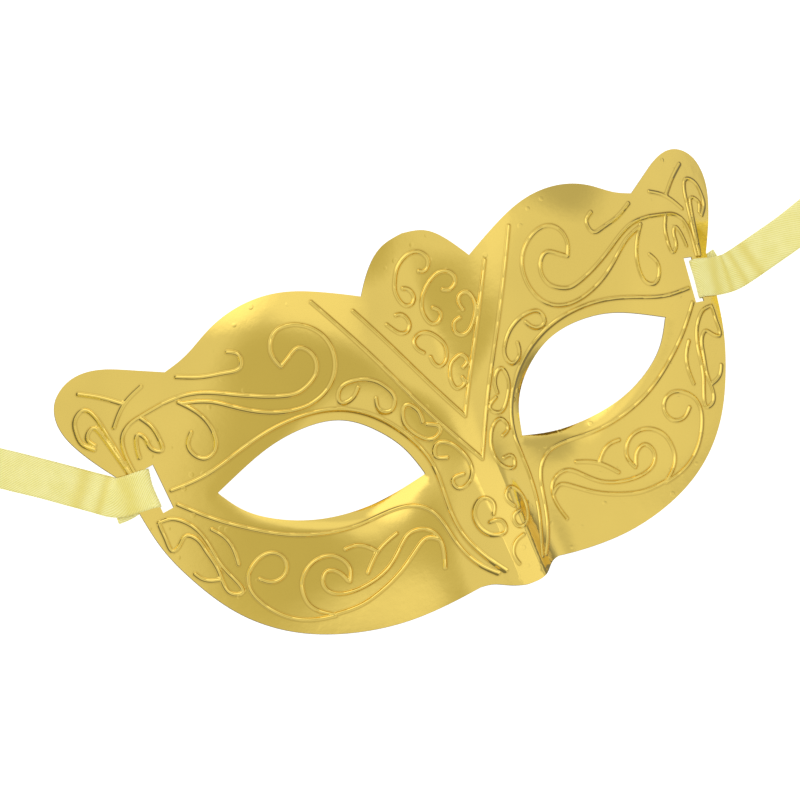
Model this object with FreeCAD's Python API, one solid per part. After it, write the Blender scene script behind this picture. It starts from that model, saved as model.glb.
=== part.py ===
import FreeCAD, Part
import math
import os
from FreeCAD import Vector

# Venetian half mask on satin ribbon ties, in millimetres.
# It lies face up on its rim: +Z comes out of the face, +Y goes up the forehead, and +X goes to the right
# as seen from the front. The origin is on the resting surface, below the middle of the mask.

# Driving dimensions of the shell
SHELL_THICKNESS = 0.8
SURFACE_HALF_WIDTH = 99.0
SURFACE_HALF_HEIGHT = 51.0
SURFACE_STEP = 6.0
CENTRE_HEIGHT = 21.3
FOREHEAD_RISE = 0.15
WRAP_DROP = 27.0
WRAP_REACH = 96.0
WRAP_POWER = 2.7
MIDLINE_BLEND = 4.0
BLOCK_LOW = -20.0
BLOCK_TALL = 90.0

# Bulges of the face: height, centre x, centre y, half width, half height. Both halves have each of them.
BULGES = {
    "brow": (9.5, 43, 38, 28, 28),
    "eye_socket": (-10.5, 26, -2, 13, 14),
    "nose": (15.0, 0, -56, 10, 46),
    "shield": (7.5, 17, 11, 18, 28),
    "cheek": (-2.5, 38, -27, 27, 14),
    "crown": (11.0, 0, 54, 18, 20),
}

# Half outline of the shell seen from the front, from the top of the crown clockwise, corner to corner
CROWN = [(0, 47.6), (6.5, 46.2), (11.5, 42), (15.4, 36.6)]
BROW = [(15.4, 36.6), (25, 41.5), (35, 45.2), (45, 45.9), (55, 43.3), (62, 39.9), (67.5, 38.5)]
EAR = [
    (67.5, 38.5),
    (75, 43),
    (82.5, 46.8),
    (88.5, 47.3),
    (93.5, 44.2),
    (95, 38.5),
    (93, 31),
    (85.8, 18.5),
]
SIDE = [
    (85.8, 18.5),
    (84.3, 8),
    (82, -3),
    (78.2, -12.5),
    (70.5, -25.2),
    (59.3, -35.2),
    (46, -41.2),
    (31, -44),
    (11.4, -43.2),
]
NOSE = [(11.4, -43.2), (6.5, -45.4), (0, -47.6)]

# Half of the outline of the eye openings, corner to corner
EYE_UPPER = [(65.2, 5.2), (59, 7.6), (50, 10.5), (40.3, 11.6), (30, 10), (21.7, 4.5), (16.6, -2.4), (14, -10.6)]
EYE_LOWER = [(14, -10.6), (23.3, -12), (34, -12.3), (44.3, -10.7), (54.1, -6.5), (60.8, -1.2), (65.2, 5.2)]

# Ribbon slots
SLOT_CENTRE = (78.3, 12.4)
SLOT_WIDTH = 2.8
SLOT_LENGTH = 12.2
SLOT_LEAN = 5.0

# Ribbons: a loop round the bar outside each slot, a glued tail, a free length and its coil
RIBBON_WIDTH = 10.4
RIBBON_THICKNESS = 0.4
LOOP_CLEARANCE = 0.25
LOOP_LEAN = 0.19
BAR_OUTER_EDGE = 85.6
GLUE_LENGTH = 2.6
GLUE_THICKNESS = 0.3
GLUE_WIDTH = 6.0
GLUE_INSET = 1.7
COIL_OUTER_RADIUS = 28.0
COIL_INNER_RADIUS = 19.0
COIL_LEAD_LENGTH = 22.0
COIL_WALL = 1.0

# Free length of each ribbon: heading in plan in degrees, then distance from its crease and height of its
# middle line
LEFT_HEADING = 143.0
RIGHT_HEADING = 13.0
LOOP_END_X = 90.0
FREE_START_X = 90.5
CREASE_HEIGHT = 2.6
CREASE_Y = {"left": 14.8, "right": 12.4}
LEFT_ROUTE = [(-5, 2.9), (2, 2.2), (8, 0.9), (16, 1.5), (26, 0.5), (36, 0.5)]
RIGHT_ROUTE = [(-3, 2.9), (2, 2.3), (7, 1.2), (14, 1.7), (22, 0.6), (31, 0.5)]


def face_height(x, y):
    """Height of the front of the shell above the resting surface."""
    across = math.hypot(x, MIDLINE_BLEND)
    height = CENTRE_HEIGHT + FOREHEAD_RISE * y - WRAP_DROP * (across / WRAP_REACH) ** WRAP_POWER
    for rise, centre_x, centre_y, half_width, half_height in BULGES.values():
        away = ((across - centre_x) / half_width) ** 2 + ((y - centre_y) / half_height) ** 2
        height += rise * math.exp(-away)
    return height


def steps(low, high, size):
    count = round((high - low) / size)
    return [low + (high - low) * i / count for i in range(count + 1)]


def curve(points, mirror=1):
    spline = Part.BSplineCurve()
    spline.interpolate([Vector(mirror * x, y, 0) for x, y in points])
    return spline.toShape()


def upright(edges):
    """A straight-sided block with this plan, taller and deeper than the shell."""
    face = Part.Face(Part.Wire(Part.__sortEdges__(edges)))
    face.translate(Vector(0, 0, BLOCK_LOW))
    return face.extrude(Vector(0, 0, BLOCK_TALL))


def slot_block(side):
    """The plan of one slot as a block, leaning inwards at its lower end."""
    corner = Vector(-SLOT_WIDTH / 2, -SLOT_LENGTH / 2, BLOCK_LOW)
    block = Part.makeBox(SLOT_WIDTH, SLOT_LENGTH, BLOCK_TALL, corner)
    block.rotate(Vector(0, 0, 0), Vector(0, 0, 1), -side * SLOT_LEAN)
    block.translate(Vector(side * SLOT_CENTRE[0], SLOT_CENTRE[1], 0))
    return block


def mask_shell():
    columns = steps(-SURFACE_HALF_WIDTH, SURFACE_HALF_WIDTH, SURFACE_STEP)
    rows = steps(-SURFACE_HALF_HEIGHT, SURFACE_HALF_HEIGHT, SURFACE_STEP)
    grid = [[Vector(x, y, face_height(x, y)) for y in rows] for x in columns]
    front = Part.BSplineSurface()
    front.interpolate(grid)
    slab = front.toShape().extrude(Vector(0, 0, -SHELL_THICKNESS))
    edges = [curve(part, side) for side in (1, -1) for part in (CROWN, BROW, EAR, SIDE, NOSE)]
    shell = slab.common(upright(edges))
    for side in (1, -1):
        shell = shell.cut(upright([curve(EYE_UPPER, side), curve(EYE_LOWER, side)]))
        shell = shell.cut(slot_block(side))
    return shell.Solids[0]


def rounded_wire(points):
    """Straight runs joined by arcs as large as the runs beside each point allow. Returns wire and radii."""
    edges = []
    radii = []
    start = points[0]
    for before, corner, after in zip(points, points[1:], points[2:]):
        run_in = corner - before
        run_out = after - corner
        turn = run_in.getAngle(run_out)
        reach = 0.45 * min(run_in.Length, run_out.Length)
        radii.append(reach / math.tan(turn / 2))
        into = corner - Vector(run_in).normalize() * reach
        out = corner + Vector(run_out).normalize() * reach
        toward = (into + out) / 2 - corner
        middle = corner + Vector(toward).normalize() * (radii[-1] / math.cos(turn / 2) - radii[-1])
        edges.append(Part.LineSegment(start, into).toShape())
        edges.append(Part.Arc(into, middle, out).toShape())
        start = out
    edges.append(Part.LineSegment(start, points[-1]).toShape())
    return Part.Wire(edges), radii


def flat_band(points, across, width):
    """A band with its middle line on a route in one upright plane. across is the level way over its width."""
    wire, radii = rounded_wire(points)
    along = (points[1] - points[0]).normalize()
    up = across.cross(along).normalize()
    half_w = across * (width / 2)
    half_t = up * (RIBBON_THICKNESS / 2)
    corners = [half_w + half_t, half_t - half_w, half_w * -1 - half_t, half_w - half_t]
    ring = Part.makePolygon([points[0] + c for c in corners + corners[:1]])
    return wire.makePipeShell([ring], True, False), wire.Length, radii


def loop_points(side):
    """Middle line of the loop: from the tail's end below the bar, up through the slot, and out over the bar.
    The corners stand a little further off the bar than the clearance, because the arcs cut inside them."""
    y = SLOT_CENTRE[1]
    gap = LOOP_CLEARANCE + RIBBON_THICKNESS / 2
    inside = SLOT_CENTRE[0] - 0.15
    rim = BAR_OUTER_EDGE
    bar_inner_edge = SLOT_CENTRE[0] + SLOT_WIDTH / 2
    top_in = face_height(bar_inner_edge, y) + gap + 0.15
    low_in = face_height(bar_inner_edge, y) - SHELL_THICKNESS - gap - 0.3
    top_rim = face_height(rim, y) + gap + 0.25
    low_rim = face_height(rim, y) - SHELL_THICKNESS - gap - 0.15
    low_end = CREASE_HEIGHT - RIBBON_THICKNESS - GLUE_THICKNESS
    profile = [
        (LOOP_END_X - 0.3, low_end),
        (LOOP_END_X - 3.2, low_end),
        (rim - 0.6, low_rim),
        (inside + 1.7, low_in),
        (inside, (low_in + top_in) / 2 - 0.2),
        (inside + 0.4, top_in + 0.6),
        (inside + 2.0, top_in - 0.1),
        (rim, top_rim),
        (LOOP_END_X - 3.2, CREASE_HEIGHT + 0.05),
        (LOOP_END_X, CREASE_HEIGHT),
    ]
    return [Vector(side * x, 0, z) for x, z in profile]


def ribbon_loop(side):
    """The stretch of ribbon round the bar, extruded along the bar, which rises towards the forehead."""
    points = loop_points(side)
    wire, radii = rounded_wire(points)
    along = (points[1] - points[0]).normalize()
    up = Vector(0, 1, 0).cross(along) * (RIBBON_THICKNESS / 2)
    line = Part.makePolygon([points[0] - up, points[0] + up])
    strip = wire.makePipeShell([Part.Wire(line.Edges)], False, False)
    rise = Vector(0, RIBBON_WIDTH, RIBBON_WIDTH * LOOP_LEAN)
    strip.translate(Vector(0, SLOT_CENTRE[1], 0) - rise / 2)
    solids = [face.extrude(rise) for face in strip.Faces]
    return solids[0].multiFuse(solids[1:]).removeSplitter().Solids[0], wire.Length


def glue_spot(side, loop):
    """The glue between the two ends of the loop, which leans as they do."""
    rise = Vector(0, GLUE_WIDTH, GLUE_WIDTH * LOOP_LEAN)
    height = CREASE_HEIGHT - RIBBON_THICKNESS / 2 - GLUE_THICKNESS / 2
    middle = Vector(side * (LOOP_END_X - GLUE_INSET), SLOT_CENTRE[1], height) - rise / 2
    outline = rectangle(middle, Vector(GLUE_LENGTH / 2, 0, 0), Vector(0, 0, GLUE_THICKNESS / 2))
    return Part.Face(outline).extrude(rise).cut(loop).Solids[0]


def rectangle(middle, half_a, half_b):
    corners = [half_a + half_b, half_b - half_a, half_a * -1 - half_b, half_a - half_b]
    return Part.makePolygon([middle + c for c in corners + corners[:1]])


def ribbon_coil(end, along, across, turn):
    """The coil, standing on the ribbon's edge, with the stretch that twists from flat to upright."""
    up = Vector(0, 0, 1)
    flat = rectangle(end, across * (RIBBON_WIDTH / 2), up * (RIBBON_THICKNESS / 2))
    touch = end + along * COIL_LEAD_LENGTH
    touch.z = RIBBON_WIDTH / 2
    edge_on = rectangle(touch, across * (COIL_WALL / 2), up * (RIBBON_WIDTH / 2))
    lead = Part.makeLoft([flat, edge_on], True, True)
    middle = touch + across * (turn * (COIL_OUTER_RADIUS - COIL_WALL / 2))
    middle.z = 0
    ring = Part.makeCylinder(COIL_OUTER_RADIUS, RIBBON_WIDTH, middle)
    ring = ring.cut(Part.makeCylinder(COIL_INNER_RADIUS, RIBBON_WIDTH, middle))
    print("coil middle", round(middle.x, 1), round(middle.y, 1))
    return ring.fuse(lead).Solids[0]


def build_ribbon(name, side, heading, route):
    """One ribbon: loop, glue spot, free length and coil."""
    angle = math.radians(heading)
    along = Vector(math.cos(angle), math.sin(angle), 0)
    across = Vector(-along.y, along.x, 0)
    crease = Vector(side * FREE_START_X, CREASE_Y[name], 0)
    points = [crease + along * distance + Vector(0, 0, height) for distance, height in route]
    band, length, radii = flat_band(points, across, RIBBON_WIDTH)
    section = RIBBON_WIDTH * RIBBON_THICKNESS
    print(name, "free ribbon", round(length, 1), "radii", [round(r, 1) for r in radii])
    print(name, "volume", round(band.Volume, 1), "section times length", round(section * length, 1))
    inboard = Part.makeBox(2 * FREE_START_X, 2 * SURFACE_HALF_HEIGHT, BLOCK_TALL)
    inboard.translate(Vector(-FREE_START_X, -SURFACE_HALF_HEIGHT, BLOCK_LOW))
    band = band.cut(inboard)
    loop, loop_length = ribbon_loop(side)
    print(name, "loop length", round(loop_length, 1), "volume", round(loop.Volume, 1))
    coil = ribbon_coil(points[-1], along, across, -side)
    return {
        name + "_ribbon_loop": loop,
        name + "_glue_spot": glue_spot(side, loop),
        name + "_ribbon": band.Solids[0],
        name + "_ribbon_coil": coil,
    }


def main():
    os.makedirs("parts", exist_ok=True)
    parts = {"mask_shell": mask_shell()}
    parts.update(build_ribbon("left", -1, LEFT_HEADING, LEFT_ROUTE))
    parts.update(build_ribbon("right", 1, RIGHT_HEADING, RIGHT_ROUTE))
    for name, shape in parts.items():
        box = shape.optimalBoundingBox()
        limits = (box.XMin, box.XMax, box.YMin, box.YMax, box.ZMin, box.ZMax)
        print(name, shape.isValid(), round(shape.Volume, 1), [round(v, 2) for v in limits])
        shape.exportStep("parts/" + name + ".step")


main()
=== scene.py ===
import math

import bpy
import numpy as np
from mathutils import Matrix, Vector, geometry, kdtree


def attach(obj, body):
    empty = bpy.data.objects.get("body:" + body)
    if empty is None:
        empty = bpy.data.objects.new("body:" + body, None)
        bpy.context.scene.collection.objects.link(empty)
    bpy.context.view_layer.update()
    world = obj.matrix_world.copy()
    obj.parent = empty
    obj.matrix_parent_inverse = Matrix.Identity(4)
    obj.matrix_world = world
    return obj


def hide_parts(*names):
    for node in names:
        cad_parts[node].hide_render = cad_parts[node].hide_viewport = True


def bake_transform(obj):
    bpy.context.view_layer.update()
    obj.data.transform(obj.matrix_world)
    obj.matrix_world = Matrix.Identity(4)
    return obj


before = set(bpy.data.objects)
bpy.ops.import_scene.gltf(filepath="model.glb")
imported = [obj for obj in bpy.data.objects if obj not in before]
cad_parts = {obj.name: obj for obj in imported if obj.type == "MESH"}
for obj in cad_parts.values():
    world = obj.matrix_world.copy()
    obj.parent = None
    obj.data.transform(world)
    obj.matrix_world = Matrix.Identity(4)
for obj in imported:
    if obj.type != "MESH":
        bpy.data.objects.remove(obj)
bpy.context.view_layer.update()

# A venetian half mask of thin gold-plated plastic, face up on its rim, on two satin ribbon ties. The lists of
# outline and ornament points, the face's bulges and the camera come from programs that measured the
# photograph.
MM = 0.001

# ---------------------------------------------------------------- shell: form

CENTRE_HEIGHT = 21.3
FOREHEAD_RISE = 0.15
WRAP_DROP = 27.0
WRAP_REACH = 96.0
WRAP_POWER = 2.7
MIDLINE_BLEND = 4.0
SHELL_THICKNESS = 0.8
# Height, centre, and size across and along
BULGES = {
    "brow": (9.5, 43, 38, 28, 28),
    "eye_socket": (-10.5, 26, -2, 13, 14),
    "nose": (15.0, 0, -56, 10, 46),
    "shield": (7.5, 17, 11, 18, 28),
    "cheek": (-2.5, 38, -27, 27, 14),
    "crown": (11.0, 0, 54, 18, 20),
}

CROWN = [(0, 47.6), (6.5, 46.2), (11.5, 42), (15.4, 36.6)]
BROW = [(15.4, 36.6), (25, 41.5), (35, 45.2), (45, 45.9), (55, 43.3), (62, 39.9), (67.5, 38.5)]
EAR = [(67.5, 38.5), (75, 43), (82.5, 46.8), (88.5, 47.3), (93.5, 44.2), (95, 38.5), (93, 31), (85.8, 18.5)]
SIDE = [(85.8, 18.5), (84.3, 8), (82, -3), (78.2, -12.5), (70.5, -25.2), (59.3, -35.2), (46, -41.2),
        (31, -44), (11.4, -43.2)]
NOSE = [(11.4, -43.2), (8.8, -43.8), (5.3, -46.1), (2, -47.5), (0, -47.6)]
EYE_UPPER = [(65.2, 5.2), (59, 7.6), (50, 10.5), (40.3, 11.6), (30, 10), (21.7, 4.5), (16.6, -2.4),
             (14, -10.6)]
EYE_LOWER = [(14, -10.6), (23.3, -12), (34, -12.3), (44.3, -10.7), (54.1, -6.5), (60.8, -1.2), (65.2, 5.2)]
SLOT_CENTRE = (78.3, 12.4)
SLOT_SIZE = (2.8, 12.2)
SLOT_LEAN = math.radians(5)

# Raised lines of the ornament. Those of a half are on both halves.
HALF_LINES = {
    "brow_line": [(75.5, 10.6), (66.8, 10.5), (58.2, 12.3), (49.3, 14.1), (39.8, 14.4), (30.1, 12.5),
                  (21.6, 7.6), (15.3, 0.2), (11.8, -9.1), (11.7, -19), (10.9, -28.7), (7.5, -37.8),
                  (5.4, -42)],
    "lid_line": [(75.2, 6.6), (68.5, -0.3), (60.9, -6.4), (52.7, -11.5), (43.4, -14.9), (33.7, -16.1),
                 (24, -15.9), (19.5, -17), (15.9, -20.1), (14.1, -24.6), (13.1, -29.4), (9.6, -38.3),
                 (7, -41.8)],
    "brow_scroll": [(66.2, 29.4), (60.5, 27.1), (55.1, 23.2), (49.4, 19.4), (43.2, 16.9), (36.5, 16.3),
                    (30.8, 18.7), (27.7, 24), (28.3, 30.5), (32.9, 35.4), (36.1, 36.6), (39.4, 36.3),
                    (41.7, 34.1), (42.3, 30.9), (41.2, 27.7)],
    "brow_scroll_inside": [(70.7, 31.5), (65.1, 31), (59.6, 29), (54.1, 25.9), (48.3, 22.9), (42.1, 20.5),
                           (38.9, 20), (36, 20.8), (33.5, 22.5), (32.3, 25.3), (33, 28.3), (35.5, 30.3),
                           (38.3, 29.2), (41, 27.6)],
    "temple_hook": [(67, 30.1), (63.1, 24.7), (61.6, 18.2), (62.5, 15.4), (65, 14.3), (67.5, 16.2),
                    (68.2, 19.4), (66.6, 21.8)],
    "temple_wave": [(76.5, 30.6), (74.8, 27.5), (74.1, 24), (74.5, 20.8), (76.5, 22.3), (77.2, 25.7),
                    (78.4, 27.1), (79.5, 25), (79.9, 21.6)],
    "brow_twig": [(65.4, 36.1), (59.8, 33.3), (53.8, 31.6), (50.8, 31.4), (49.9, 34.3), (52.3, 36.4)],
    "ear_twig": [(88, 43.1), (83.5, 39.8), (79.3, 35.9)],
    "ear_leaf": [(73.9, 37.8), (79, 35.6), (83, 31.4)],
    "ear_start": [(82.2, 18.3), (82.7, 25.5), (81.7, 28.7), (79.5, 30.4), (76.6, 31), (70.7, 31.5)],
    "ear_spiral": [(83.2, 18.2), (84.3, 25.4), (85.5, 32.6), (86.3, 36.1), (88.3, 38.8), (90.7, 37.7),
                   (91.7, 34.5), (91.3, 31), (89.1, 28.4)],
    "ear_spiral_inside": [(88.7, 29.3), (89.6, 32.3), (87.8, 33.6), (86.3, 31), (84.8, 24.7), (83.4, 18.4)],
    "side_arc": [(69.7, -2.7), (67.4, -5.9), (66.4, -9.7), (66.5, -13.6)],
    "side_tick": [(77.2, -11.4), (76, -13.3), (74.2, -14.6), (72.1, -15.3)],
    "side_leaf": [(81, 4.4), (78, 4), (75.4, 2.1), (73.4, -0.6), (71.4, -7.2), (69.8, -14), (68.4, -20.7),
                  (70, -20.2), (71.6, -13.4), (72.9, -6.7), (73.9, -3.4), (76.2, -1.5), (78.3, -3.1),
                  (80.1, -3.8), (80.8, -0.5), (81, 2.9), (81, 4.4)],
    "cheek_ring": [(62.8, -19.2), (60, -21.2), (56.8, -20.8), (55.2, -17.9), (56.7, -14.9), (59.9, -14),
                   (63, -15.1), (65.3, -17.4), (65.9, -20.7), (64.9, -24), (60.8, -29.8), (55, -33.7),
                   (48.3, -35.4)],
    "cheek_hook": [(42, -28.3), (43.5, -25.3), (46.5, -24.1), (48.2, -26.6), (46.9, -29.6), (43.9, -31),
                   (37.3, -31.1), (31, -29.1), (25.9, -25), (23.2, -23.2), (20, -23.3), (17.3, -25.2),
                   (16.3, -28.4), (17.7, -34.8)],
    "cheek_scroll": [(41.6, -28.7), (40.4, -25.7), (41.5, -22.6), (44.2, -20.6), (47.6, -20.3),
                     (50.6, -21.4), (52.9, -23.7), (53.8, -26.9), (53.4, -30.2), (51.4, -32.9),
                     (48.7, -34.9)],
    "cheek_tail": [(48.5, -35), (41.5, -35.4), (34.7, -33.9), (28.2, -31.1), (22.4, -27.3), (19.3, -26),
                   (16.5, -27.6)],
    "cheek_twig": [(26.1, -21.9), (31.9, -24.2), (36.5, -28.4)],
    "cheek_twig_inside": [(39.8, -20.6), (37, -20.7), (34.4, -22), (32.4, -24.1)],
    "inner_brow_curl": [(24.1, 15.5), (26.3, 13.6), (29.5, 14), (28.8, 16.7), (25.7, 17.5), (22.2, 16.8),
                        (19.2, 15.1), (16.9, 12.5), (15.9, 9.6), (17.3, 7.3), (20.2, 8.6), (20.4, 11.4)],
    "bridge_curl": [(10.8, 1.6), (11.2, 4.9), (13.8, 7), (15.1, 4.6), (14.4, 1.3), (12.4, -1.6),
                    (9.3, -3.3), (7.2, -1.7), (9.9, 0.6)],
    "nose_curl": [(8.1, -9.2), (10.5, -7.6), (9.4, -5), (6.6, -5.8), (4.6, -8.4), (3.5, -11.5),
                  (3.6, -14.7), (5.4, -17.2), (8.1, -17.6), (8.7, -15), (5.9, -14.7)],
    "ridge_curl": [(3, -27.4), (1.9, -24.4), (4.1, -22.4), (6.4, -24), (7.2, -27), (6.5, -30.3),
                   (4.6, -32.5), (1.9, -32.7), (1.6, -29.9), (4.4, -28.9)],
}

# Straight borders of the shield on the forehead: where they start on each half and where the halves meet
SHIELD_OUTER = ((28.2, 39.9), (0, -13))
SHIELD_INNER = ((18.8, 33.9), (0, -1.1))

# The curls inside the shield and the one at the nose's tip, which are not mirrored
CENTRE_LINES = {
    "crown_curl": [(1.5, 37.4), (2.8, 36.9), (4.1, 37.7), (4.7, 39.3), (4.1, 40.8), (2.5, 42), (0.2, 42.2),
                   (-2, 41.4), (-4, 39.8), (-5.4, 37.4), (-6.2, 35.1), (-6, 32.6), (-4.9, 30.7),
                   (-3.3, 30.3), (-1.9, 31.6), (-2, 33.2), (-3, 34.4), (-4, 34.8)],
    "middle_curl": [(6, 31), (7.4, 30.3), (9, 30.9), (9.9, 32.4), (9.4, 34.1), (7.8, 35.1), (5.8, 35.2),
                    (3.6, 34.3), (1.6, 32.7), (-0.1, 30.4), (-0.8, 27.8), (-0.5, 25.5), (0.6, 23.9),
                    (2.4, 24), (3.4, 25.4), (3.1, 26.8), (2.1, 27.7)],
    "side_curl": [(9.1, 24.4), (8.7, 26.2), (9.1, 27.7), (10.3, 28.3), (11.6, 28.1), (12.4, 26.6),
                  (12.5, 24.6), (11.8, 22.5), (10.3, 20.3), (8.7, 18.8), (6.8, 18.4), (5.6, 19.3),
                  (5.3, 21.1), (6.1, 22.3), (7.6, 22.7)],
    "hook": [(-8.2, 29.1), (-6.8, 28.9), (-5.6, 27.5), (-5.5, 25.6), (-6.9, 24.2), (-8.7, 24.4),
             (-10.2, 25.8), (-11.5, 27.6)],
    "low_curl": [(-4.5, 17.8), (-5.7, 19.1), (-6.1, 20.9), (-5.1, 22.2), (-3, 22.7), (-1, 22), (0.6, 20.2),
                 (1.6, 17.7), (1.2, 15.3), (0, 13.6), (-1.7, 13.1), (-2.9, 14.5), (-3.1, 16.1)],
    "point_curl": [(4.1, 10.7), (5.3, 11.4), (5.6, 12.8), (4.6, 13.9), (3.2, 13.7), (1.3, 12.6),
                   (0.2, 10.5), (-0.2, 8.2), (0.5, 6.3), (1.9, 6.2), (3.1, 7), (3, 8.3)],
    "tip_hook": [(2.2, -35.2), (0, -35.9), (-1.3, -37), (-2.2, -38.6), (-2.2, -40.6), (-1.9, -41.7)],
}

LINE_HALF_WIDTH = 0.58
LINE_HEIGHT = 0.46
SHIELD_STEP = -0.25
RIDGE_TOP = -9.0
RIDGE_LENGTH = 10.0
RIDGE_HALF_WIDTH = 3.1
RIDGE_FADE = 4.5
# The rolled edge of an eye opening: its width, its drop at the lower lid, and the part of it at the upper lid
EYE_EDGE = 3.6
EYE_DROP = 0.85
UPPER_LID_DROP = 0.3
# Height, centre, and size across and along
DENTS = [(0.8, 24, 44, 12, 14), (0.5, 1, -27, 7, 7)]

# Mesh points of the shell: along the outlines, in rows beside each raised line at these parts of its half
# width, along the creases of the nose, and in a field of even triangles between them
EDGE_STEP = 0.6
ROW_STEP = 0.61
ROW_REACHES = (0.3, 0.6, 0.85, 1.1, 1.6)
ROW_SLACK = 0.06
END_FAN = 1.2
CREASE_GAP = 0.15
CREASE_END = -44
FIELD_STEP = 1.05
FIELD_HALF_SIZE = (97, 50)
FIELD_ROW = 0.866
FIELD_CLEAR = 0.45
CLEAR_OF_LINE = 1.6
POINT_GAP = 0.1
RIM_GAP = 0.3
# Steps inside a spline, and of the lines and outlines that distances are measured to
SPLINE_STEP = 0.1
FINE_LINE = 0.1
FINE_OUTLINE = 0.12
# More than the cells in any row of a grid
CELLS_APART = 100003
# Painted shade beside a raised line, a browner gold: how far outside the line, and how wide
GROOVE_AWAY = 0.05
GROOVE_WIDTH = 0.16


def smooth_line(points, step):
    """Natural cubic spline through the points, at even steps."""
    p = np.array(points, float)
    t = np.r_[0, np.cumsum(np.hypot(*np.diff(p, axis=0).T))]
    n = len(p)
    h = np.diff(t)
    a = np.zeros((n, n))
    b = np.zeros((n, 2))
    a[0, 0] = a[-1, -1] = 1
    for i in range(1, n - 1):
        a[i, i - 1 : i + 2] = h[i - 1], 2 * (h[i - 1] + h[i]), h[i]
        b[i] = 6 * ((p[i + 1] - p[i]) / h[i] - (p[i] - p[i - 1]) / h[i - 1])
    m = np.linalg.solve(a, b)
    fine = np.linspace(0, t[-1], max(20, int(t[-1] / SPLINE_STEP)))
    k = np.clip(np.searchsorted(t, fine, "right") - 1, 0, n - 2)
    u, v = (t[k + 1] - fine)[:, None], (fine - t[k])[:, None]
    hk = h[k][:, None]
    q = (m[k] * u**3 + m[k + 1] * v**3) / (6 * hk)
    q += (p[k] / hk - m[k] * hk / 6) * u + (p[k + 1] / hk - m[k + 1] * hk / 6) * v
    s = np.r_[0, np.cumsum(np.hypot(*np.diff(q, axis=0).T))]
    even = np.linspace(0, s[-1], max(3, int(round(s[-1] / step)) + 1))
    return np.c_[np.interp(even, s, q[:, 0]), np.interp(even, s, q[:, 1])]


def straight_line(a, b, step):
    count = max(2, int(math.dist(a, b) / step) + 1)
    return np.linspace(a, b, count)


def mirrored(line):
    return line * np.array([-1.0, 1.0])


def ornament(step):
    """Every raised line as points at even steps."""
    lines = []
    for points in HALF_LINES.values():
        right = smooth_line(points, step)
        lines += [right, mirrored(right)]
    for start, end in (SHIELD_OUTER, SHIELD_INNER):
        right = straight_line(start, end, step)
        lines += [right, mirrored(right)]
    for points in CENTRE_LINES.values():
        lines.append(smooth_line(points, step))
    return lines


def outlines(step):
    """Closed loops: the rim, two eye openings and two slots."""
    right = [smooth_line(part, step) for part in (CROWN, BROW, EAR, SIDE, NOSE)]
    half = np.concatenate([part[:-1] for part in right] + [right[-1][-1:]])
    rim = np.concatenate([half[:-1], mirrored(half)[::-1][:-1]])
    eye = np.concatenate([smooth_line(part, step)[:-1] for part in (EYE_UPPER, EYE_LOWER)])
    w, l = SLOT_SIZE[0] / 2, SLOT_SIZE[1] / 2
    corners = [(-w, -l), (w, -l), (w, l), (-w, l), (-w, -l)]
    slot = np.concatenate([straight_line(a, b, step)[:-1] for a, b in zip(corners, corners[1:])])
    c, s = math.cos(SLOT_LEAN), math.sin(SLOT_LEAN)
    slot = slot @ np.array([[c, -s], [s, c]]) + SLOT_CENTRE
    return [rim, eye, mirrored(eye), slot, mirrored(slot)]


def inside(points, loop):
    """Which points are inside a closed loop."""
    x, y = points[:, 0], points[:, 1]
    result = np.zeros(len(points), bool)
    for (x1, y1), (x2, y2) in zip(loop, np.roll(loop, -1, axis=0)):
        if y1 == y2:
            continue
        crosses = (y1 > y) != (y2 > y)
        result ^= crosses & (x < (x2 - x1) * (y - y1) / (y2 - y1) + x1)
    return result


class Nearest:
    """Finds the nearest point of a set of plan lines."""

    def __init__(self, lines):
        self.points = np.concatenate(lines)
        self.tree = kdtree.KDTree(len(self.points))
        for i, (x, y) in enumerate(self.points):
            self.tree.insert((x, y, 0), i)
        self.tree.balance()

    def find(self, points):
        index = np.empty(len(points), int)
        away = np.empty(len(points))
        for i, (x, y) in enumerate(points):
            _, index[i], away[i] = self.tree.find((x, y, 0))
        return index, away

    def __call__(self, points):
        index, away = self.find(points)
        return self.points[index], away


class Openings(Nearest):
    """Nearest points of closed loops, with the ways that lead out of the loops there."""

    def __init__(self, loops):
        super().__init__(loops)
        ways = []
        for loop in loops:
            along = np.roll(loop, -1, axis=0) - np.roll(loop, 1, axis=0)
            way = np.c_[along[:, 1], -along[:, 0]] / np.linalg.norm(along, axis=1)[:, None]
            out = np.sign(((loop - loop.mean(0)) * way).sum())
            ways.append(way * out)
        self.ways = np.concatenate(ways)


def on_shell(points, loops):
    """Which points are inside the rim and outside the eye openings and slots."""
    rim, *holes = loops
    keep = inside(points, rim)
    for hole in holes:
        keep &= ~inside(points, hole)
    return keep


def base_height(x, y):
    """Height and slopes of the smooth face."""
    across = np.hypot(x, MIDLINE_BLEND)
    z = CENTRE_HEIGHT + FOREHEAD_RISE * y - WRAP_DROP * (across / WRAP_REACH) ** WRAP_POWER
    da = -WRAP_DROP * WRAP_POWER / WRAP_REACH * (across / WRAP_REACH) ** (WRAP_POWER - 1)
    dy = np.full_like(z, FOREHEAD_RISE)
    for rise, cx, cy, sx, sy in BULGES.values():
        g = rise * np.exp(-(((across - cx) / sx) ** 2) - ((y - cy) / sy) ** 2)
        z += g
        da += g * -2 * (across - cx) / sx**2
        dy += g * -2 * (y - cy) / sy**2
    return z, da * x / across, dy


def smooth_step(t):
    """0 to 1 with flat ends, and its slope."""
    t = np.clip(t, 0, 1)
    return t * t * (3 - 2 * t), 6 * t * (1 - t)


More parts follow.
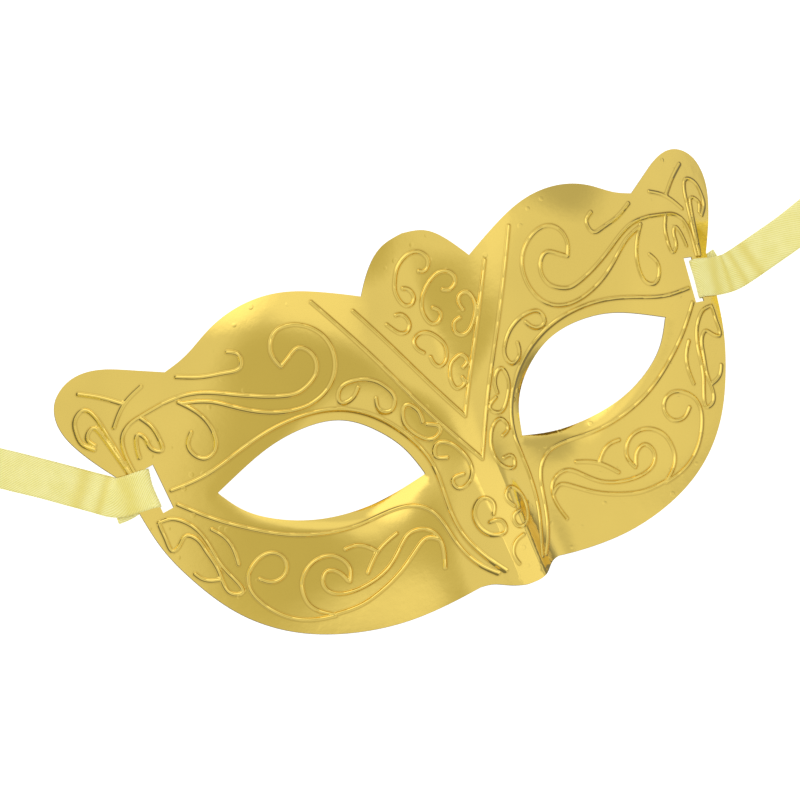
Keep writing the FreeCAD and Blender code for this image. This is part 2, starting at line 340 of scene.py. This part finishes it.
def ridge_height(x, y):
    """The top of the nose is a flat panel with a crease each side, from the shield's point down to the tip."""
    grow, grow_slope = smooth_step((RIDGE_TOP - y) / RIDGE_LENGTH)
    away = np.abs(x)
    here, hx, hy = base_height(x, y)
    top, _, ty = base_height(np.zeros_like(x), y)
    edge, _, ey = base_height(np.full_like(x, RIDGE_HALF_WIDTH), y)
    fade, fade_slope = smooth_step((away - RIDGE_HALF_WIDTH) / RIDGE_FADE)
    flat = away < RIDGE_HALF_WIDTH
    z = np.where(flat, top - here, (top - edge) * (1 - fade))
    zx = np.where(flat, -hx, -(top - edge) * fade_slope / RIDGE_FADE * np.sign(x))
    zy = np.where(flat, ty - hy, (ty - ey) * (1 - fade))
    return grow * z, grow * zx, grow * zy - z * grow_slope / RIDGE_LENGTH


def shield_height(x, y):
    """The border of the shield is a flat bevel between its two straight lines."""
    (x1, y1), (x0, y0) = SHIELD_OUTER
    length = math.hypot(x1 - x0, y1 - y0)
    nx, ny = -(y1 - y0) / length, (x1 - x0) / length
    (x2, y2), _ = SHIELD_INNER
    band = abs((x2 - x0) * nx + (y2 - y0) * ny)
    deep = (np.abs(x) - x0) * nx + (y - y0) * ny
    t = np.clip(deep / band, 0, 1)
    slope = np.where((deep > 0) & (deep < band), SHIELD_STEP / band, 0.0)
    return SHIELD_STEP * t, slope * nx * np.sign(x), slope * ny


def dent_height(x, y):
    """Two low bulges that turn reflections towards the photo's. Nothing else shows that the shell has them."""
    z, zx, zy = np.zeros_like(x), np.zeros_like(x), np.zeros_like(x)
    for rise, cx, cy, sx, sy in DENTS:
        g = rise * np.exp(-(((x - cx) / sx) ** 2) - ((y - cy) / sy) ** 2)
        z, zx, zy = z + g, zx - 2 * g * (x - cx) / sx**2, zy - 2 * g * (y - cy) / sy**2
    return z, zx, zy


def rolled_edge(points, eyes):
    """The edges of the eye openings turn down a little, most at the lower lids."""
    index, away = eyes.find(points)
    t = np.clip(1 - away / EYE_EDGE, 0, 1)
    way = eyes.ways[index]
    drop = EYE_DROP * (UPPER_LID_DROP + (1 - UPPER_LID_DROP) * np.clip(-way[:, 1], 0, 1))
    slope = 2 * drop * t / EYE_EDGE
    return -drop * t**2, slope * way[:, 0], slope * way[:, 1]


def face(points, lines, eyes):
    """Height and slopes of the front, ornament and all."""
    x, y = points.T
    z, sx, sy = base_height(x, y)
    parts = [part(x, y) for part in (shield_height, ridge_height, dent_height)]
    for pz, px, py in parts + [rolled_edge(points, eyes)]:
        z, sx, sy = z + pz, sx + px, sy + py
    near, away = lines(points)
    # A raised line's section is (1 - t^2)^1.4
    t = np.clip(away / LINE_HALF_WIDTH, 0, 1)
    z = z + LINE_HEIGHT * (1 - t**2) ** 1.4
    slope = -LINE_HEIGHT * 2.8 * t * (1 - t**2) ** 0.4 / LINE_HALF_WIDTH
    way = (points - near) / np.maximum(away, 1e-6)[:, None]
    return z, sx + slope * way[:, 0], sy + slope * way[:, 1]


def first_in_cell(points, size):
    """Leaves one point in each cell of a grid."""
    cells = np.round(points / size).astype(np.int64)
    _, first = np.unique(cells[:, 0] * CELLS_APART + cells[:, 1], return_index=True)
    return points[np.sort(first)]


def plan_points(loops, lines):
    """Points of the shell's plan: rows beside every raised line, and an even field between them."""
    rim_near = Nearest(outlines(FINE_OUTLINE))
    rows = []
    for line in ornament(ROW_STEP):
        way = np.gradient(line, axis=0)
        way /= np.hypot(*way.T)[:, None]
        side = np.c_[-way[:, 1], way[:, 0]]
        for t in (0, *[sign * reach for reach in ROW_REACHES for sign in (1, -1)]):
            rows.append((abs(t) * LINE_HALF_WIDTH, line + side * t * LINE_HALF_WIDTH))
        for end, out in ((line[0], -way[0]), (line[-1], way[-1])):
            turn = math.atan2(out[1], out[0])
            for t in ROW_REACHES:
                for k in np.linspace(-END_FAN, END_FAN, 3 + int(4 * t)):
                    way_out = np.array([math.cos(turn + k), math.sin(turn + k)])
                    point = end + t * LINE_HALF_WIDTH * way_out
                    rows.append((t * LINE_HALF_WIDTH, point[None]))
    kept = []
    for reach in sorted({round(r, 4) for r, _ in rows}):
        row = np.concatenate([p for r, p in rows if round(r, 4) == reach])
        _, away = lines(row)
        kept.append(row[away > reach - ROW_SLACK])
    down = np.arange(RIDGE_TOP, CREASE_END, -ROW_STEP)
    for edge in (-RIDGE_HALF_WIDTH, RIDGE_HALF_WIDTH):
        for beside in (-CREASE_GAP, CREASE_GAP):
            crease = np.c_[np.full(len(down), edge + beside), down]
            _, away = lines(crease)
            kept.append(crease[away > LINE_HALF_WIDTH * CLEAR_OF_LINE])
    rows = np.concatenate(kept)
    step = FIELD_STEP
    across, along = FIELD_HALF_SIZE
    gx, gy = np.meshgrid(np.arange(-across, across, step), np.arange(-along, along, step * FIELD_ROW))
    gx = gx + (np.arange(gx.shape[0]) % 2)[:, None] * step / 2
    field = np.c_[gx.ravel(), gy.ravel()]
    _, away = lines(field)
    field = field[away > LINE_HALF_WIDTH * CLEAR_OF_LINE + FIELD_CLEAR * step]
    points = first_in_cell(np.concatenate([rows, field]), POINT_GAP)
    points = points[on_shell(points, loops)]
    _, away = rim_near(points)
    return points[away > RIM_GAP]


def shell_plan(lines):
    """Points and triangles of the shell seen from above."""
    loops = outlines(EDGE_STEP)
    edge_points = np.concatenate(loops)
    edges = []
    start = 0
    for loop in loops:
        n = len(loop)
        edges += [(start + i, start + (i + 1) % n) for i in range(n)]
        start += n
    points = np.concatenate([edge_points, plan_points(loops, lines)])
    out = geometry.delaunay_2d_cdt([Vector(p) for p in points], edges, [], 0, 1e-5, False)
    plan = np.array([(v.x, v.y) for v in out[0]])
    tris = np.array([f for f in out[2] if len(f) == 3])
    flip = np.cross(plan[tris[:, 1]] - plan[tris[:, 0]], plan[tris[:, 2]] - plan[tris[:, 0]]) < 0
    tris[flip] = tris[flip][:, ::-1]
    tris = tris[on_shell(plan[tris].mean(1), loops)]
    used = np.unique(tris)
    renumber = np.full(len(plan), -1)
    renumber[used] = np.arange(len(used))
    return plan[used], renumber[tris]


def open_edges(tris):
    """The edges that only one triangle has, in that triangle's direction."""
    sides = np.concatenate([tris[:, [0, 1]], tris[:, [1, 2]], tris[:, [2, 0]]])
    _, first, count = np.unique(np.sort(sides, axis=1), axis=0, return_index=True, return_counts=True)
    return sides[first[count == 1]]


def build_shell():
    lines = Nearest(ornament(FINE_LINE))
    plan, tris = shell_plan(lines)
    z, sx, sy = face(plan, lines, Openings(outlines(FINE_OUTLINE)[1:3]))
    n = len(plan)
    low = np.c_[plan, z - SHELL_THICKNESS]
    verts = np.concatenate([np.c_[plan, z], low]) * MM
    rim = open_edges(tris)
    quads = np.c_[rim[:, 1], rim[:, 0], rim[:, 0] + n, rim[:, 1] + n]
    faces = [tuple(f) for f in tris] + [tuple(f) for f in tris[:, ::-1] + n] + [tuple(f) for f in quads]
    mesh = bpy.data.meshes.new("mask_shell_body")
    mesh.from_pydata(verts.tolist(), [], [tuple(int(i) for i in f) for f in faces])
    up = np.c_[-sx, -sy, np.ones(n)]
    up /= np.linalg.norm(up, axis=1)[:, None]
    normals = np.zeros((len(mesh.loops), 3))
    normals[: 3 * len(tris)] = up[tris.ravel()]
    normals[3 * len(tris) : 6 * len(tris)] = -up[tris[:, ::-1].ravel()]
    mesh.polygons.foreach_set("use_smooth", [True] * (2 * len(tris)) + [False] * len(quads))
    mesh.polygons.foreach_set("material_index", [0] * len(tris) + [1] * len(tris) + [0] * len(quads))
    mesh.normals_split_custom_set(normals.tolist())
    # Painted shade: a band in the hollow just outside each raised line, kept as a point attribute of the front
    _, away = lines(plan)
    groove_shade = np.exp(-(((away - LINE_HALF_WIDTH - GROOVE_AWAY) / GROOVE_WIDTH) ** 2))
    layer = mesh.attributes.new("groove_shade", "FLOAT", "POINT")
    layer.data.foreach_set("value", np.concatenate([groove_shade, np.zeros(n)]))
    shell = bpy.data.objects.new("mask_shell_plated", mesh)
    bpy.context.scene.collection.objects.link(shell)
    return shell


# ---------------------------------------------------------------- materials


# Sockets of a Mix node for colours. Its sockets for other types have the same names, so these go by number.
MIX_FACTOR, MIX_FROM, MIX_TO, MIX_RESULT = 0, 6, 7, 2


def new_material(name):
    material = bpy.data.materials.new(name)
    material.use_nodes = True
    tree = material.node_tree
    return material, tree, tree.nodes["Principled BSDF"]


def node(tree, kind, **values):
    """A new node. values are its inputs, with _ for each space of their names."""
    made = tree.nodes.new(kind)
    for name, value in values.items():
        made.inputs[name.replace("_", " ")].default_value = value
    return made


def colour_ramp(tree, low, high, positions=None):
    ramp = node(tree, "ShaderNodeValToRGB")
    for stop, colour in zip(ramp.color_ramp.elements, (low, high)):
        stop.color = (*colour, 1)
    for stop, position in zip(ramp.color_ramp.elements, positions or ()):
        stop.position = position
    return ramp


def colour_mix(tree):
    mix = node(tree, "ShaderNodeMix")
    mix.data_type = "RGBA"
    return mix


def times(tree, left, right):
    """The product of a socket and another socket or a number."""
    product = node(tree, "ShaderNodeMath")
    product.operation = "MULTIPLY"
    tree.links.new(left, product.inputs[0])
    if isinstance(right, float):
        product.inputs[1].default_value = right
    else:
        tree.links.new(right, product.inputs[1])
    return product.outputs["Value"]


def tinted_where(tree, attribute, amount, tint, colour):
    """The colour with a tint mixed in where the mesh's point attribute is high."""
    place = node(tree, "ShaderNodeAttribute")
    place.attribute_name = attribute
    mix = colour_mix(tree)
    mix.inputs[MIX_TO].default_value = (*tint, 1)
    tree.links.new(times(tree, place.outputs["Fac"], amount), mix.inputs[MIX_FACTOR])
    tree.links.new(colour, mix.inputs[MIX_FROM])
    return mix.outputs[MIX_RESULT]


def bumped(tree, height, strength, distance, under=None):
    """A bump from a height socket, on top of the one whose normal is given."""
    bump = node(tree, "ShaderNodeBump", Strength=strength, Distance=distance)
    tree.links.new(height, bump.inputs["Height"])
    if under is not None:
        tree.links.new(under, bump.inputs["Normal"])
    return bump.outputs["Normal"]


def gold_plate(name, roughness, tint):
    """Vacuum-plated plastic: a bright metal skin, slightly uneven, with a fine grain and a few specks, and
    painted shade in the hollow beside each raised line.
    """
    material, tree, bsdf = new_material(name)
    link = tree.links.new
    bsdf.inputs["Metallic"].default_value = 1.0
    place = node(tree, "ShaderNodeTexCoord").outputs["Object"]

    broad = node(tree, "ShaderNodeTexNoise", Scale=28.0, Detail=3.0)
    link(place, broad.inputs["Vector"])
    colour = colour_ramp(tree, [c * 0.93 for c in tint], tint, (0.35, 0.7))
    link(broad.outputs["Fac"], colour.inputs["Fac"])
    # Painted shade: the gold is darkened to brown in the hollow beside each raised line
    groove_shaded = tinted_where(tree, "groove_shade", 0.3, (0.36, 0.2, 0.02), colour.outputs["Color"])
    link(groove_shaded, bsdf.inputs["Base Color"])

    fine = node(tree, "ShaderNodeTexNoise", Scale=420.0, Detail=4.0)
    link(place, fine.inputs["Vector"])
    rough = node(
        tree,
        "ShaderNodeMapRange",
        From_Min=0.3,
        From_Max=0.75,
        To_Min=roughness * 0.8,
        To_Max=roughness * 1.35,
    )
    link(fine.outputs["Fac"], rough.inputs["Value"])
    link(rough.outputs["Result"], bsdf.inputs["Roughness"])

    # Specks: a small dot in each cell, but only where the broad noise is high
    cells = node(tree, "ShaderNodeTexVoronoi", Scale=210.0)
    link(place, cells.inputs["Vector"])
    dot = node(tree, "ShaderNodeMapRange", From_Min=0.1, From_Max=0.17, To_Min=1.0, To_Max=0.0)
    link(cells.outputs["Distance"], dot.inputs["Value"])
    few = node(tree, "ShaderNodeMapRange", From_Min=0.5, From_Max=0.54)
    link(broad.outputs["Fac"], few.inputs["Value"])
    specks = times(tree, dot.outputs["Result"], few.outputs["Result"])

    normal = bumped(tree, broad.outputs["Fac"], 0.12, 0.0006)
    normal = bumped(tree, fine.outputs["Fac"], 1.0, 0.00003, normal)
    normal = bumped(tree, specks, 1.0, 0.00004, normal)
    link(normal, bsdf.inputs["Normal"])
    return material


def satin(name):
    """Pale yellow satin ribbon with a fine slanting twill, along the ribbon's own measure, and painted shade at
    its cross folds.
    """
    material, tree, bsdf = new_material(name)
    link = tree.links.new
    bsdf.inputs["Roughness"].default_value = 0.42
    bsdf.inputs["Sheen Weight"].default_value = 0.35
    bsdf.inputs["Sheen Roughness"].default_value = 0.4
    along = node(tree, "ShaderNodeUVMap").outputs["UV"]

    twill = node(tree, "ShaderNodeTexWave", Scale=0.85, Distortion=0.8, Detail=2.0)
    twill.wave_type = "BANDS"
    twill.bands_direction = "DIAGONAL"
    link(along, twill.inputs["Vector"])
    cloud = node(tree, "ShaderNodeTexNoise", Scale=0.22, Detail=3.0)
    link(along, cloud.inputs["Vector"])
    half_and_half = node(tree, "ShaderNodeMix", Factor=0.5)
    link(twill.outputs["Fac"], half_and_half.inputs["A"])
    link(cloud.outputs["Fac"], half_and_half.inputs["B"])
    colour = colour_ramp(tree, (0.8, 0.73, 0.19), (0.95, 0.9, 0.42), (0.2, 0.75))
    link(half_and_half.outputs["Result"], colour.inputs["Fac"])
    # Painted shade at the cross folds: the satin is darkened to a deeper yellow there
    fold_shaded = tinted_where(tree, "fold", 0.55, (0.74, 0.6, 0.08), colour.outputs["Color"])
    link(fold_shaded, bsdf.inputs["Base Color"])

    link(bumped(tree, twill.outputs["Fac"], 0.35, 0.0001), bsdf.inputs["Normal"])
    return material


def clear_glue(name):
    """A dried drop of clear glue, a little cloudy."""
    material, tree, bsdf = new_material(name)
    link = tree.links.new
    cloud = node(tree, "ShaderNodeTexNoise", Scale=900.0)
    link(node(tree, "ShaderNodeTexCoord").outputs["Object"], cloud.inputs["Vector"])
    colour = colour_ramp(tree, (0.72, 0.62, 0.2), (0.85, 0.78, 0.35))
    link(cloud.outputs["Fac"], colour.inputs["Fac"])
    link(colour.outputs["Color"], bsdf.inputs["Base Color"])
    bsdf.inputs["Roughness"].default_value = 0.25
    bsdf.inputs["Coat Weight"].default_value = 0.5
    return material


# ---------------------------------------------------------------- ribbons

RIBBON_WIDTH = 10.4
RIBBON_THICKNESS = 0.36
RIBBON_COLUMNS = 15
ROUTE_RESOLUTION = 14
# A slight ripple of both edges, with none at this distance along the ribbon and full this much away from it
RIPPLE_HEIGHT = 0.12
RIPPLE_LENGTH = 2.3
RIPPLE_SLANT = 1.2
RIPPLE_NONE = 12
RIPPLE_GROWS = 20
# The middle of a cross fold stands higher than its ends
FOLD_CROWN = 0.35
# Parts of the thickness: in the selvedge, which is this near the edge, and at the very edge
SELVEDGE = 0.9
SELVEDGE_THICKNESS = 1.12
EDGE_THICKNESS = 0.35

# The bar of the shell outside a slot: its inner side, where its top is measured, and the shell's rim
BAR_INNER = 79.35
BAR_MIDDLE = 80.5
BAR_RIM = 85.2

# The put-away length is a roll on its edge
COIL_RADIUS = 27.0
COIL_PITCH = 5.2
COIL_ANGLE = 510
COIL_STEP = 30
COIL_HEIGHT = 5.5

# Each tie's route is its glued end, the bar, the free part and the coil.
# bar: the route's y in the slot, over the bar and at the rim. coil: its middle, its start in degrees, its turn.
# edges: the ways to the ribbon's upper edge at the points before the coil.
# creases: soft cross folds, with distance along, height and half length; painted shade darkens the satin at
# each.
UPRIGHT = (0, 0, 1)
FLAT_LEFT = (0.6, 0.8, 0)
FLAT_RIGHT = (-0.22, 0.975, 0)
TIES = {
    "left": {
        "side": -1,
        "glued": [(-89.9, 13.4, 1.9), (-87.2, 13.3, 1.9)],
        "bar": (13.1, 13.4, 13.9),
        "free": [(-88.6, 14.6, 3.3), (-91.2, 16.8, 2.5), (-96.2, 20.8, 1.2), (-104.0, 26.6, 1.4),
                 (-113.0, 33.0, 1.1), (-120.5, 38.2, 1.3), (-129.0, 44.2, 4.5), (-136.0, 49.3, 5.5)],
        "coil": ((-153.4, 27.7), 68, 1),
        "edges": [(0.05, 1, 0.12)] * 2 + [(-0.03, 1, 0.17)] * 6 + [(0.18, 1, 0.12), (0.42, 0.92, 0.03)]
        + [FLAT_LEFT] * 3 + [(0.6, 0.8, 0.15), (0.35, 0.45, 0.8), UPRIGHT],
        "creases": [(20, 0.0, 3.0), (27, 0.25, 1.2), (33, -0.2, 2.0)],
    },
    "right": {
        "side": 1,
        "glued": [(89.6, 13.7, 1.9), (87.2, 13.3, 1.9)],
        "bar": (12.5, 12.3, 11.6),
        "free": [(88.4, 11.3, 3.3), (91.0, 11.3, 2.6), (96.0, 12.3, 1.3), (103.5, 14.0, 1.5),
                 (111.5, 15.8, 1.1), (121.5, 18.9, 1.3), (131.5, 21.6, 4.5), (140.5, 24.0, 5.5)],
        "coil": ((148.3, -2.5), 88, -1),
        "edges": [(0.05, 1, 0.12)] * 2 + [(0.1, 1, 0.15)] * 6 + [(0.02, 1, 0.1), (-0.08, 1, 0.03)]
        + [FLAT_RIGHT] * 3 + [(-0.22, 0.97, 0.15), (-0.15, 0.6, 0.8), UPRIGHT],
        "creases": [(20, 0.0, 2.2), (24, 0.35, 0.9), (28, 0.35, 1.1), (33, 0.3, 1.5)],
    },
}


def route_points(name, controls):
    """The line that a smooth NURBS route takes, in order, in metres."""
    curve = bpy.data.curves.new(name + "_route", "CURVE")
    curve.dimensions = "3D"
    curve.resolution_u = ROUTE_RESOLUTION
    spline = curve.splines.new("NURBS")
    spline.points.add(len(controls) - 1)
    for point, place in zip(spline.points, controls):
        point.co = (*[c * MM for c in place], 1)
    spline.order_u = 3
    spline.use_endpoint_u = True
    holder = bpy.data.objects.new(name + "_route", curve)
    bpy.context.scene.collection.objects.link(holder)
    bpy.context.view_layer.update()
    mesh = bpy.data.meshes.new_from_object(holder)
    line = np.array([v.co[:] for v in mesh.vertices])
    bpy.data.objects.remove(holder)
    bpy.data.curves.remove(curve)
    bpy.data.meshes.remove(mesh)
    return line


def build_ribbon(name, controls, edges, creases):
    """A woven band whose middle follows the route."""
    line = route_points(name, controls)
    count = len(line)
    at = np.linspace(0, len(controls) - 1, count)
    edges = np.array(edges, float)
    wide = np.stack([np.interp(at, np.arange(len(controls)), edges[:, k]) for k in range(3)], axis=1)
    way = np.gradient(line, axis=0)
    way /= np.linalg.norm(way, axis=1)[:, None]
    wide -= way * (wide * way).sum(1)[:, None]
    wide /= np.linalg.norm(wide, axis=1)[:, None]
    face_up = np.cross(way, wide)
    run = np.r_[0, np.cumsum(np.linalg.norm(np.diff(line, axis=0), axis=1))] / MM
    columns = np.linspace(-1, 1, RIBBON_COLUMNS)
    half, thick = RIBBON_WIDTH / 2 * MM, RIBBON_THICKNESS / 2 * MM
    rings, uvs = [], []
    for i in range(count):
        lift = sum(h * math.exp(-(((run[i] - s) / w) ** 2)) for s, h, w in creases) * MM
        ripple = min(1.0, abs(run[i] - RIPPLE_NONE) / RIPPLE_GROWS)
        top, bottom = [], []
        for u in columns:
            wave = RIPPLE_HEIGHT * MM * math.sin(run[i] / RIPPLE_LENGTH + RIPPLE_SLANT * u) * u * u * ripple
            middle = line[i] + wide[i] * u * half + face_up[i] * (lift * (1 - FOLD_CROWN * u * u) + wave)
            t = thick * (SELVEDGE_THICKNESS if abs(u) > SELVEDGE else 1.0)
            t *= EDGE_THICKNESS if abs(u) == 1 else 1.0
            top.append(middle + face_up[i] * t)
            bottom.append(middle - face_up[i] * t)
        rings.append(top + bottom[::-1])
        uvs.append([(u * RIBBON_WIDTH / 2, run[i]) for u in (*columns, *columns[::-1])])
    m = len(rings[0])
    verts = [tuple(p) for ring in rings for p in ring]
    flat_uv = [p for ring in uvs for p in ring]
    faces = []
    for i in range(count - 1):
        for j in range(m):
            k = (j + 1) % m
            faces.append((i * m + j, i * m + k, (i + 1) * m + k, (i + 1) * m + j))
    for j in range(len(columns) - 1):
        faces.append((j, m - 1 - j, m - 2 - j, j + 1))
        base = (count - 1) * m
        faces.append((base + j, base + j + 1, base + m - 2 - j, base + m - 1 - j))
    mesh = bpy.data.meshes.new(name)
    mesh.from_pydata(verts, [], faces)
    layer = mesh.uv_layers.new(name="along")
    for loop in mesh.loops:
        layer.data[loop.index].uv = flat_uv[loop.vertex_index]
    mesh.polygons.foreach_set("use_smooth", [True] * len(faces))
    # Painted shade at the cross folds, kept as a point attribute
    fold = [sum(math.exp(-(((r - s) / w) ** 2)) for s, _, w in creases) for r in run]
    layer = mesh.attributes.new("fold", "FLOAT", "POINT")
    layer.data.foreach_set("value", np.repeat(fold, m))
    ribbon = bpy.data.objects.new(name, mesh)
    bpy.context.scene.collection.objects.link(ribbon)
    length = float(run[-1]) * MM
    return ribbon, [tuple(p) for p in line], length


def coil_points(middle, start, turn):
    """The coil's turns, from its outside inwards."""
    points = []
    for i in range(int(round(COIL_ANGLE / COIL_STEP)) + 1):
        a = math.radians(start + turn * COIL_STEP * i)
        r = COIL_RADIUS - COIL_PITCH * i / (360 / COIL_STEP)
        points.append((middle[0] + r * math.cos(a), middle[1] + r * math.sin(a), COIL_HEIGHT))
    return points


def bar_points(side, y_in, y_bar, y_rim):
    """Round the bar outside the slot: under it, up through the slot, over it. Heights are from its front."""
    top_in = float(base_height(np.array([BAR_MIDDLE]), np.array([y_bar]))[0][0])
    top_rim = float(base_height(np.array([BAR_RIM]), np.array([y_rim]))[0][0])
    return [
        (side * (BAR_RIM - 0.4), y_rim, top_rim - 1.45),
        (side * (BAR_INNER + 1.8), y_bar, top_in - 1.9),
        (side * (BAR_INNER - 0.15), y_in, top_in - 1.1),
        (side * (BAR_INNER - 0.15), y_in, top_in + 0.45),
        (side * (BAR_INNER + 1.4), y_bar, top_in + 0.75),
        (side * BAR_RIM, y_rim, top_rim + 0.75),
    ]


def build_ribbons():
    cloth = satin("pale_yellow_satin")
    for name, tie in TIES.items():
        side = tie["side"]
        coil = coil_points(*tie["coil"])
        controls = tie["glued"] + bar_points(side, *tie["bar"]) + tie["free"] + coil
        edges = tie["edges"] + [UPRIGHT] * len(coil)
        ribbon, path, length = build_ribbon(name + "_tie_ribbon", controls, edges, tie["creases"])
        ribbon.data.materials.append(cloth)
        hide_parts(name + "_ribbon_loop", name + "_ribbon", name + "_ribbon_coil")
        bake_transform(ribbon)


# ---------------------------------------------------------------- stage


FLOOR_HALF_SIZE = 3.0
FLOOR_GLOW = 0.97


def build_floor():
    """A plain white floor where the mask lies. It glows, so no shadow shows, and it isn't mirrored."""
    mesh = bpy.data.meshes.new("floor")
    s = FLOOR_HALF_SIZE
    mesh.from_pydata([(-s, -s, 0), (s, -s, 0), (s, s, 0), (-s, s, 0)], [], [(0, 1, 2, 3)])
    floor = bpy.data.objects.new("floor", mesh)
    bpy.context.scene.collection.objects.link(floor)
    material, _, bsdf = new_material("floor_white")
    bsdf.inputs["Base Color"].default_value = (0.4, 0.4, 0.4, 1)
    bsdf.inputs["Roughness"].default_value = 0.9
    bsdf.inputs["Emission Color"].default_value = (1, 1, 1, 1)
    bsdf.inputs["Emission Strength"].default_value = FLOOR_GLOW
    mesh.materials.append(material)
    floor.visible_glossy = False


# Soft studio light: an even level all round and broad areas in it. Each area has its tilt from overhead, its
# way in plan, the size where it is full, the size where it ends, and its colour. Angles are in degrees. Later
# areas cover earlier ones. The last is the dim ground.
TENT_LEVEL = (0.9, 0.9, 0.9)
TENT = [
    (36, -118, 15, 36, (0.66, 0.64, 0.5)),
    (12, 30, 5, 22, (1.1, 1.1, 1.1)),
    (42, 125, 22, 38, (1.55, 1.55, 1.55)),
    (62, 20, 14, 30, (0.62, 0.62, 0.62)),
    (180, 0, 74, 90, (0.25, 0.25, 0.25)),
]


def build_world():
    world = bpy.data.worlds.new("studio")
    bpy.context.scene.world = world
    world.use_nodes = True
    tree = world.node_tree
    link = tree.links.new
    way_out = node(tree, "ShaderNodeTexCoord").outputs["Generated"]
    level = None
    for tilt, way, full, ends, colour in TENT:
        tilt, way = math.radians(tilt), math.radians(way)
        middle = (math.sin(tilt) * math.cos(way), math.sin(tilt) * math.sin(way), math.cos(tilt))
        dot = node(tree, "ShaderNodeVectorMath")
        dot.operation = "DOT_PRODUCT"
        dot.inputs[1].default_value = middle
        link(way_out, dot.inputs[0])
        ends, full = math.cos(math.radians(ends)), math.cos(math.radians(full))
        spot = node(tree, "ShaderNodeMapRange", From_Min=ends, From_Max=full)
        spot.interpolation_type = "SMOOTHSTEP"
        link(dot.outputs["Value"], spot.inputs["Value"])
        mix = colour_mix(tree)
        if level is None:
            mix.inputs[MIX_FROM].default_value = (*TENT_LEVEL, 1)
        else:
            link(level, mix.inputs[MIX_FROM])
        mix.inputs[MIX_TO].default_value = (*colour, 1)
        link(spot.outputs["Result"], mix.inputs[MIX_FACTOR])
        level = mix.outputs[MIX_RESULT]
    link(level, tree.nodes["Background"].inputs["Color"])


# The camera's aim, distance from it and lens, and its azimuth, elevation and roll in degrees
CAMERA_AIM = (-0.00737, 0.0119, 0)
CAMERA_DISTANCE = 1.1436
CAMERA_LENS = 194.4
CAMERA_TURN = (-67.11, 74.37, 44.96)


def build_camera():
    """Nearly overhead, a little from the left and below, turned so that the mask slants."""
    azimuth, elevation, roll = (math.radians(a) for a in CAMERA_TURN)
    flat = math.cos(elevation)
    back = Vector((math.sin(azimuth) * flat, -math.cos(azimuth) * flat, math.sin(elevation)))
    data = bpy.data.cameras.new("camera")
    camera = bpy.data.objects.new("camera", data)
    bpy.context.scene.collection.objects.link(camera)
    data.sensor_width = 36
    data.lens = CAMERA_LENS
    data.clip_start, data.clip_end = 0.05, 20
    camera.location = Vector(CAMERA_AIM) + back * CAMERA_DISTANCE
    level = (-back).to_track_quat("-Z", "Y").to_matrix().to_4x4()
    turned = level @ Matrix.Rotation(roll, 4, "Z")
    camera.rotation_euler = turned.to_euler()
    bpy.context.scene.camera = camera


def main():
    build_camera()
    build_ribbons()
    shell = build_shell()
    shell.data.materials.append(gold_plate("gold_plated_front", 0.085, (0.86, 0.64, 0.15)))
    shell.data.materials.append(gold_plate("gold_plated_back", 0.4, (0.72, 0.53, 0.17)))
    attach(shell, "mask")
    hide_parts("mask_shell")
    glue = clear_glue("clear_glue")
    for name in ("left_glue_spot", "right_glue_spot"):
        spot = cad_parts[name]
        spot.data.materials.clear()
        spot.data.materials.append(glue)
    build_floor()
    build_world()
    bpy.context.scene.view_settings.view_transform = "Standard"


main()
